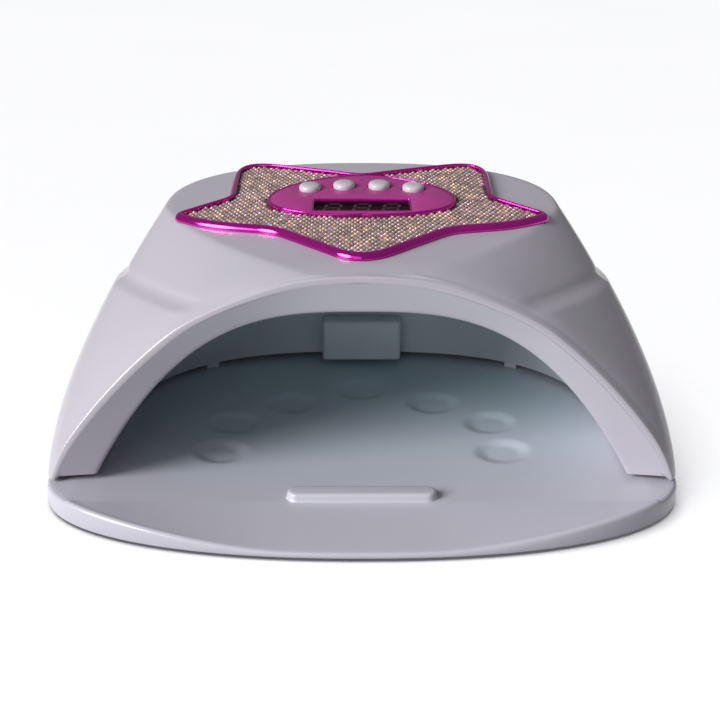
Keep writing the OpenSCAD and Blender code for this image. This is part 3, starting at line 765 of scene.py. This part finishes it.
def star_line(step=1.2, turn=14):
    """Outline of the star: straight sides between corners rounded as parabolas."""
    star = STAR_HALF + [(-x, y, c) for x, y, c in STAR_HALF[-2:0:-1]]
    rough = []
    for i, (x, y, c) in enumerate(star):
        p = np.array([x, y], float)
        ends = []
        for k in (i - 1, (i + 1) % len(star)):
            d = np.array(star[k][:2], float) - p
            ends.append(p + d / np.linalg.norm(d) * c)
        for k in np.linspace(0, 1, turn):
            rough.append((1 - k) ** 2 * ends[0] + 2 * k * (1 - k) * p + k * k * ends[1])
    line = []
    for i, p in enumerate(rough):
        q = rough[(i + 1) % len(rough)]
        n = max(1, math.ceil(np.linalg.norm(q - p) / step))
        line += [p + (q - p) * k / n for k in range(n)]
    return np.array(line)


def eye_r(g):
    """Radius of the eye-shaped panel at angle g."""
    c, s = np.abs(np.cos(g)) / EYE_A, np.abs(np.sin(g))
    front = (c ** 2.3 + (s / EYE_FRONT) ** 2.3) ** (-1 / 2.3)
    back = (c ** 1.7 + (s / EYE_BACK) ** 1.7) ** (-1 / 1.7)
    return np.where(np.sin(g) < 0, front, back)


def eye_line(grow, steps=160):
    """Outline of the panel, with the small notch at the middle of its front edge."""
    g = np.linspace(0, 2 * math.pi, steps, endpoint=False)
    r = eye_r(g)
    x, y = r * np.cos(g), EYE_Y + r * np.sin(g)
    y = y + np.where(np.sin(g) < 0, 0.8 * np.exp(-((x / 2.2) ** 2)), 0)
    return inset(np.stack([x, y], -1), -grow)


def chrome_ring(name, line, profile, seat, m, replaces=()):
    """Closed chrome ring along a line: profile is [(inset, height), ...], put in place by seat."""
    loops = [inset(line, d) for d, _ in profile]
    verts = [seat((*loop[i], h)) for i in range(len(line)) for loop, (_, h) in zip(loops, profile)]
    faces = grid_faces(len(line), len(profile), wrap_cols=True, wrap_rows=True)
    mesh(name, verts, faces, m["chrome_magenta"], "housing", replaces, smooth_angle=50)


def star_trim(m):
    profile = [(0.15, 0.02), (0.02, 0.3), (0, 0.65), (0.1, 1.1), (0.32, 1.6), (0.62, 2.05),
               (1.0, 2.42), (1.4, 2.67), (1.8, TRIM_H), (2.4, 2.78), (2.66, 2.66), (2.78, 2.4),
               (2.8, 2.1), (2.8, 0.1)]
    chrome_ring("star_trim_ring", star_line(), profile, on_crown, m, ["star_trim"])


def inside(line, x, y):
    """True where (x, y) lies inside a closed outline."""
    hit = False
    for (x0, y0), (x1, y1) in zip(line, np.roll(line, -1, 0)):
        if (y0 > y) != (y1 > y) and x < x0 + (y - y0) * (x1 - x0) / (y1 - y0):
            hit = not hit
    return hit


def stone(x, y, size, turn, lean):
    """One faceted crystal: an eight-sided crown with a table, seated on the mat."""
    base = float(deck(x, y))
    rings = [(size, 1.05), (size * 0.98, 1.35), (size * 0.52, 1.92)]
    verts = []
    for k, (r, h) in enumerate(rings):
        for i in range(8):
            g = turn + math.pi / 4 * (i + 0.5 * (k == 2))
            px, py = r * math.cos(g), r * math.sin(g)
            verts.append((x + px, y + py, base + h + (lean[0] * px + lean[1] * py) * (k > 0)))
    return verts, [list(range(16, 24))] + ring_faces(8, 0, 8) + ring_faces(8, 8, 16)


STONE_R, STONE_PITCH_X, STONE_PITCH_Y = 1.04, 2.2, 2.05
STONE_GAP_TRIM, STONE_GAP_PANEL = 3.6, 1.7
STONES_FROM_Y, STONES_DEPTH, STONES_PER_SIDE = -30, 110, 34


def rhinestones(m):
    """Staggered rows of stones between the trim and the panel, and the mat behind them."""
    outer = inset(star_line(), STONE_GAP_TRIM)
    stones = []
    for j in range(int(STONES_DEPTH / STONE_PITCH_Y)):
        y = STONES_FROM_Y + STONE_PITCH_Y * j
        dy = y - EYE_Y
        for i in range(-STONES_PER_SIDE, STONES_PER_SIDE + 1):
            x = STONE_PITCH_X * (i + 0.5 * (j % 2))
            on_panel = math.hypot(x, dy) < float(eye_r(math.atan2(dy, x))) + STONE_GAP_PANEL
            if on_panel or not inside(outer, x, y):
                continue
            lean = (random.gauss(0, 0.08), random.gauss(0, 0.08))
            size = STONE_R * random.uniform(0.97, 1.03)
            stones.append(stone(x, y, size, random.uniform(0, 0.8), lean))
    verts, faces = joined(stones)
    mesh("rhinestones", verts, faces, m["crystal"], "housing", ["rhinestone_mat"],
         smooth_angle=1)
    line = inset(star_line(), 2.75)
    hub = np.array([0, EYE_Y])
    low, high = 0.05, 1.1
    section = [(0, low), (0, high), (0.25, high), (0.5, high), (0.75, high), (1, high), (1, low), (0.5, low)]
    verts = []
    for p in line:
        d = p - hub
        g = math.atan2(d[1], d[0])
        reach = min(float(eye_r(g)) + 0.4, np.linalg.norm(d) - 0.3)
        q = hub + reach * np.array([math.cos(g), math.sin(g)])
        verts += [on_crown((*mix(q, p, k), h)) for k, h in section]
    faces = grid_faces(len(line), len(section), wrap_cols=True, wrap_rows=True)
    mesh("rhinestone_backing", verts, faces, m["backing"], "housing", ["rhinestone_mat"])


def control_panel(m):
    """The panel with its cap and window holes, its chrome border and the window's bezel."""
    holes = [circle(x, y, CAP_R + 0.3) for x, y in CAPS] + [window_rect(0, 1.0)]
    plate("eye_panel", [eye_line(-0.15)] + holes, PANEL_SEAT, PANEL_H, 0.3, m["panel_magenta"],
          "housing", ["control_panel"], on_deck)
    profile = [(0, 0.15), (0.0, 2.2), (0.2, 2.52), (0.45, 2.6), (0.7, 2.52), (0.88, 2.25), (0.9, 0.15)]
    chrome_ring("panel_border", eye_line(0.75), profile, on_deck, m)
    profile = [(0, 1.0), (0.0, 2.45), (0.2, 2.55), (0.45, 2.5), (0.6, 2.2), (0.6, 1.0)]
    chrome_ring("window_bezel", window_rect(0.1, 1.0), profile, on_deck, m)


def segment(cx, cy, length, upright):
    """One hexagonal bar of a seven-segment digit, slanted like the rest."""
    w = 0.62
    half = length / 2
    bar = [(-half, 0), (-half + w, w), (half - w, w), (half, 0), (half - w, -w), (-half + w, -w)]
    if upright:
        bar = [(-y, x) for x, y in bar]
    lean = 0.16
    return [(cx + x + lean * (cy + y), cy + y) for x, y in bar]


def display(m):
    """The smoked window and three unlit digits just proud of it."""
    verts, faces = stack(window_rect(0.5, 0.9), [(0, PANEL_SEAT), (0, 0.88), (0.15, 1.02)])
    mesh("window_glass", [on_deck(v) for v in verts], faces, m["window_glass"],
         "housing", ["display_window"], smooth_angle=20)
    parts = []
    half_w, half_h, pitch = 2.9, 4.5, 11.6
    both_ends = [list(range(6)), list(range(6, 12))]
    for dx in (-pitch, 0, pitch):
        bars = [(0, s * half_h, 2 * half_w - 0.9, False) for s in (-1, 0, 1)]
        bars += [(sx * half_w, sy * half_h / 2, half_h - 0.6, True) for sx in (-1, 1) for sy in (-1, 1)]
        for cx, cy, length, upright in bars:
            line = [(dx + x, WINDOW_Y + y) for x, y in segment(cx, cy, length, upright)]
            verts = [on_deck((x, y, h)) for h in (1.0, 1.05) for x, y in line]
            parts.append((verts, both_ends + ring_faces(6, 0, 6)))
    verts, faces = joined(parts)
    mesh("display_digits", verts, faces, m["segment"], "housing", smooth_angle=1)


def button_caps(m):
    """Each cap with its stem and flange under the panel, and the indicator's dark dot."""
    top = PANEL_H + CAP_RISE
    profile = [(AXIS_R, -5.0), (1.4, -5.0), (1.5, -4.9), (1.5, -1.4), (5.3, -1.4), (5.5, -1.25),
               (5.5, -0.7), (5.3, -0.6), (CAP_R, -0.6), (CAP_R, top - 1.75), (4.44, top - 1.3),
               (4.2, top - 0.85), (3.7, top - 0.45), (2.9, top - 0.2), (1.8, top - 0.06),
               (0.8, top - 0.01), (AXIS_R, top)]
    for i, (x, y) in enumerate(CAPS):
        verts, faces = lathe(profile, steps=64)
        verts = [on_deck((x + v[0], y + v[1], v[2])) for v in verts]
        mesh(f"cap_dome_{i + 1}", verts, faces, m["cap_white"], f"button_{i + 1}",
             [f"button_cap_{i + 1}"], smooth_angle=45)
    dot = [(AXIS_R, 2.3), (0.45, 2.3), (0.5, 2.42), (0.36, 2.5), (AXIS_R, 2.44)]
    verts, faces = lathe(dot, steps=20)
    verts = [on_deck((v[0], INDICATOR_Y + v[1], v[2])) for v in verts]
    mesh("indicator_dot", verts, faces, m["dark_plastic"], "housing", smooth_angle=45)


# ---- inside the hand cavity ---------------------------------------------------
def sensor_block(m):
    y0, y1, z0, z1 = 66.6, 75.2, 9.6, 28.0
    line = rounded_rect(34.8, y1 - y0, 1.8, 8, 0, (y0 + y1) / 2)
    verts, faces = stack(line, [(0.7, z0), (0.2, z0 + 0.3), (0, z0 + 0.8), (0, z1 - 1.3),
                                (0.35, z1 - 0.5), (0.9, z1 - 0.1), (1.5, z1)])
    mesh("sensor_block", verts, faces, m["liner_white"], "housing", ["sensor_cover"],
         smooth_angle=50)


def led_lenses(m):
    """Rows of silicone domes, each square to the ceiling and just clear of it."""
    off = 0.1
    dome_line = [(AXIS_R, 0), (3.0, 0), (3.1, 0.3), (2.9, 0.55), (2.45, 0.6), (2.3, 0.95), (1.8, 1.4),
                 (1.1, 1.68), (AXIS_R, 1.8)]
    for name, y in (("front", -26), ("middle", 2), ("rear", 28)):
        c = float(bay(y))
        parts = []
        for x in (-61, -51, -40, -28, -14, 0, 14, 28, 40, 51, 61):
            slope = -3 * (CAV_TOP - 8) * x * abs(x) / CAV_HALF_W ** 3
            r = math.hypot(slope, 1)
            shrink = float(bay(y + 3)) / c if y > LINER_Y else 1
            px = x * c * shrink
            pz = LINER_Z + (float(arch_z(x * shrink)) - LINER_Z) * (1 - 0.1 * (1 - c))
            down = (slope / r, 0, -1 / r)
            parts.append(lathe(dome_line, (px + down[0] * off, y, pz + down[2] * off), down, 28))
        verts, faces = joined(parts)
        mesh(f"lens_domes_{name}", verts, faces, m["led_lens"], "housing",
             [f"led_lenses_{name}"])


# ---- tray -----------------------------------------------------------------------
def tray_edge(a):
    """Outline of the tray in plan."""
    front = a < 0
    n = np.where(front, 2.2, 2.6)
    c, s = np.cos(np.radians(a)), np.sin(np.radians(a))
    x = TRAY_HALF_W * sup(c, n)
    y = TRAY_MID + sup(s, n) * np.where(front, TRAY_MID - TRAY_FRONT, TRAY_BACK - TRAY_MID)
    return np.stack([x, y], -1)


def front_line(x):
    """The tray's front edge."""
    reach = np.maximum(0, 1 - (abs(x) / TRAY_HALF_W) ** 2.2) ** (1 / 2.2)
    return TRAY_MID - (TRAY_MID - TRAY_FRONT) * reach


def lip_z(x):
    return LIP_Z + (LAND_Z - LIP_Z) * smooth((abs(x) - 24) / 80)


def dish_z(x, y):
    """Floor of the tray, rising towards the sides and the back."""
    r = np.minimum(1, np.hypot(x / 104, np.maximum(0, y - 5) / 84))
    return np.minimum(LAND_Z, 5 + 3.6 * r ** 2.4)


def tray_top(x, y):
    """Top of the tray: floor, then the ramp to the lip from the crease on, less the dimples."""
    crease = -60.5 - 0.0006 * x * x
    run = np.maximum(1, crease - front_line(x))
    f = np.clip((crease - y) / run, 0, 1)
    d = np.min([np.hypot(x - cx, y - cy) for cx, cy in DIMPLES], axis=0)
    return mix(dish_z(x, y), lip_z(x), f) - 1.25 * (1 - smooth((d - 5.5) / 6.5))


def base_tray(m):
    """Columns from the hub out to the edge, over its rounding and down to the underside."""
    a = outline_angles(181)
    edge = mirrored(tray_edge(a)[:, None, :])[:, 0]
    hub = np.array([0.0, -8.0])
    rings = np.concatenate([np.linspace(0.02, 0.3, 9), np.linspace(0.315, 0.70, 44),
                            np.linspace(0.715, 0.975, 22)])
    columns = []
    for e in edge:
        inward = (hub - e) / np.linalg.norm(hub - e)
        x, y = (hub + rings[:, None] * (e - hub)).T
        top = list(np.stack([x, y, tray_top(x, y)], -1))
        zt = float(tray_top(*e))
        r = min(1.5, (zt - TRAY_Z) * 0.5)
        for g in (0, 22.5, 45, 67.5, 90):
            s, c = math.sin(math.radians(g)), math.cos(math.radians(g))
            p = e + inward * r * (1 - s)
            top.append((*p, zt - r * (1 - c)))
        for g in (0, 45, 90):
            s, c = math.sin(math.radians(g)), math.cos(math.radians(g))
            p = e + inward * TRAY_UNDER_R * (1 - c)
            top.append((*p, TRAY_Z + TRAY_UNDER_R * (1 - s)))
        columns.append(top)
    columns = np.array(columns)
    count, rows = columns.shape[:2]
    faces = grid_faces(count, rows, wrap_cols=True)
    faces += [[c * rows for c in range(count)], [c * rows + rows - 1 for c in range(count)]]
    mesh("tray_moulding", columns.reshape(-1, 3), faces, m["tray_white"], "tray",
         ["base_tray"], 38)
    r = BAR_D / 2
    line = []
    for x, start in ((BAR_W / 2 - r, -math.pi / 2), (r - BAR_W / 2, math.pi / 2)):
        line += [(x + r * math.cos(g), BAR_Y + r * math.sin(g))
                 for g in np.linspace(start, start + math.pi, 20)]
    verts, faces = stack(line, [(-0.7, 4.6), (-0.5, 5.25), (-0.15, 5.7), (0, 6.2), (0, BAR_TOP - 1.1),
                                (0.3, BAR_TOP - 0.45), (0.8, BAR_TOP - 0.1), (1.5, BAR_TOP)])
    mesh("tray_rest_bar", verts, faces, m["tray_white"], "tray", smooth_angle=50)


def tray_feet(m):
    for i, (x, y) in enumerate([(-86, -44), (86, -44), (-62, 66), (62, 66)]):
        profile = [(AXIS_R, 0.15), (4.5, 0.15), (5.0, 0), (6.5, 0), (6.9, 0.2), (7, TRAY_Z)]
        verts, faces = lathe(profile, (x, y, 0))
        mesh(f"foot_pad_{i + 1}", verts, faces, m["foot_rubber"], "tray",
             [f"tray_foot_{i + 1}"])


# ---- power socket at the back -----------------------------------------------------
def power_socket(m):
    """The inlet's plate, its barrel and body behind the plate, and its centre pin."""
    z, y = 22.6, 92.3

    def upright(p):
        """A point of a form built face up, turned to face the back."""
        return (-p[0], y + p[2], z + p[1])

    plate("inlet_plate", [rounded_rect(33.4, 12, 1.2), circle(0, 0, 5.15)], 0.0, 1.7, 0.3, m["dark_plastic"],
          "housing", ["dc_jack"], upright)
    profile = [(3.0, -7.5), (3.0, 1.6), (3.2, 1.95), (3.5, 2.05), (4.6, 2.05), (4.9, 1.9), (5.05, 1.6),
               (5.05, 0.0), (5.05, -0.3), (5.05, -8.5), (3.0, -8.5)]
    verts, _ = lathe(profile)
    faces = grid_faces(48, len(profile), wrap_cols=True, wrap_rows=True)
    mesh("socket_barrel", [upright(v) for v in verts], faces, m["dark_plastic"],
         "housing", smooth_angle=45)
    verts, faces = stack(rounded_rect(14, 11, 0.8), [(0.3, -12), (0, -11.7), (0, -8.9), (0.2, -8.6)])
    mesh("socket_body", [upright(v) for v in verts], faces, m["dark_plastic"], "housing")
    profile = [(AXIS_R, -7.5), (1.0, -7.5), (1.0, -0.2), (0.8, 0.35), (0.4, 0.5), (AXIS_R, 0.55)]
    verts, faces = lathe(profile, steps=24)
    mesh("socket_pin", [upright(v) for v in verts], faces, m["screw_steel"], "housing",
         ["dc_jack_pin"])


def dress_cad_nodes(m):
    """Hidden pieces keep their CAD shape and take their slot's material."""
    for part in frame["record"]["subparts"]:
        obj = frame["nodes"][part["node"]]
        for k in range(max(1, len(obj.data.materials))):
            if k < len(obj.data.materials):
                obj.data.materials[k] = m[part["material_slot"]]
            else:
                obj.data.materials.append(m[part["material_slot"]])


# ---- floor, light and camera ------------------------------------------------------
FLOOR_HALF_M = 6
CAMERA_PLACE_M = (-0.0007, -0.476225, 0.2224)
CAMERA_TIP = 68.6
CAMERA_LENS = 65


def stage():
    """Pale floor, which sends no light back up at the lamp."""
    floor = Shader("pale_floor", (0.90, 0.90, 0.91), 0.6)
    floor.tint((0.89, 0.89, 0.90), (0.91, 0.91, 0.92), 2)
    data = bpy.data.meshes.new("floor")
    h = FLOOR_HALF_M
    data.from_pydata([(-h, -h, 0), (h, -h, 0), (h, h, 0), (-h, h, 0)], [], [[0, 1, 2, 3]])
    obj = bpy.data.objects.new("floor", data)
    data.materials.append(floor.mat)
    bpy.context.scene.collection.objects.link(obj)
    obj.visible_diffuse = False
    return obj


def soft_sun(name, towards, width, strength):
    """Broad even white light from a direction, its apparent width in degrees."""
    data = bpy.data.lights.new(name, "SUN")
    data.angle = math.radians(width)
    data.energy = strength
    obj = bpy.data.objects.new(name, data)
    obj.rotation_euler = Vector(towards).to_track_quat("Z", "Y").to_euler()
    bpy.context.scene.collection.objects.link(obj)
    return obj


def lights(floor):
    """Key and fill light the lamp alone, and a wash lights the floor alone."""
    world = bpy.data.worlds.new("studio")
    world.use_nodes = True
    sky = world.node_tree.nodes["Background"].inputs
    sky["Color"].default_value = (0.96, 0.97, 1.0, 1)
    sky["Strength"].default_value = 0.235
    bpy.context.scene.world = world
    key = soft_sun("key_left", (-0.78, -0.47, 0.45), 32, 4.6)
    fill = soft_sun("fill_front", (-0.35, -0.85, 0.42), 40, 0.35)
    wash = soft_sun("floor_wash", (-0.2, -0.1, 1.0), 60, 3.0)
    for light, state in ((key, "EXCLUDE"), (fill, "EXCLUDE"), (wash, "INCLUDE")):
        group = bpy.data.collections.new(f"floor_for_{light.name}")
        group.objects.link(floor)
        group.collection_objects[0].light_linking.link_state = state
        light.light_linking.receiver_collection = group


def camera():
    data = bpy.data.cameras.new("camera")
    data.sensor_width = 36
    data.lens = CAMERA_LENS
    data.clip_start = 0.01
    obj = bpy.data.objects.new("camera", data)
    obj.location = CAMERA_PLACE_M
    obj.rotation_euler = (math.radians(CAMERA_TIP), 0, 0)
    bpy.context.scene.collection.objects.link(obj)
    bpy.context.scene.camera = obj


# ---- build ---------------------------------------------------------------------------
def main():
    m = make_materials()
    dress_cad_nodes(m)
    outer_shell(m)
    inner_liner(m)
    liner_tabs(m)
    star_trim(m)
    rhinestones(m)
    control_panel(m)
    display(m)
    button_caps(m)
    sensor_block(m)
    led_lenses(m)
    base_tray(m)
    tray_feet(m)
    power_socket(m)
    lights(stage())
    camera()
    bpy.context.scene.view_settings.view_transform = "Standard"
    bpy.context.view_layer.update()


main()
